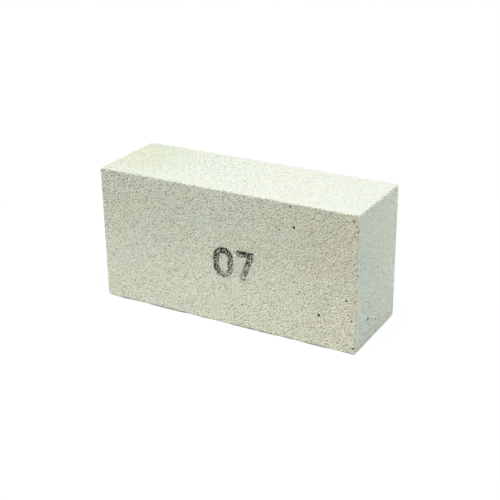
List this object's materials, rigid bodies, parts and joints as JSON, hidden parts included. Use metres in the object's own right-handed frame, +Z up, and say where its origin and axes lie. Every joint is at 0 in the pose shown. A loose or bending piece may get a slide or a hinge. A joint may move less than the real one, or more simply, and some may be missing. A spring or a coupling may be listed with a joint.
{
  "type": "insulating firebrick",
  "caption": "Rectangular block of pale, open-pored refractory clay for lining kilns, furnaces and hearths, standing on its long edge.",
  "frame": {"origin": "middle of the long edge face that the brick stands on", "axes": "+Z up, X along the length, marked bed face towards -Y"},
  "size_m": [0.23, 0.076, 0.114],
  "materials": {
    "fired_clay": "matte, finely pitted, unglazed"
  },
  "bodies": {
    "root": {"firebrick": "fired_clay"}
  },
  "joints": []
}
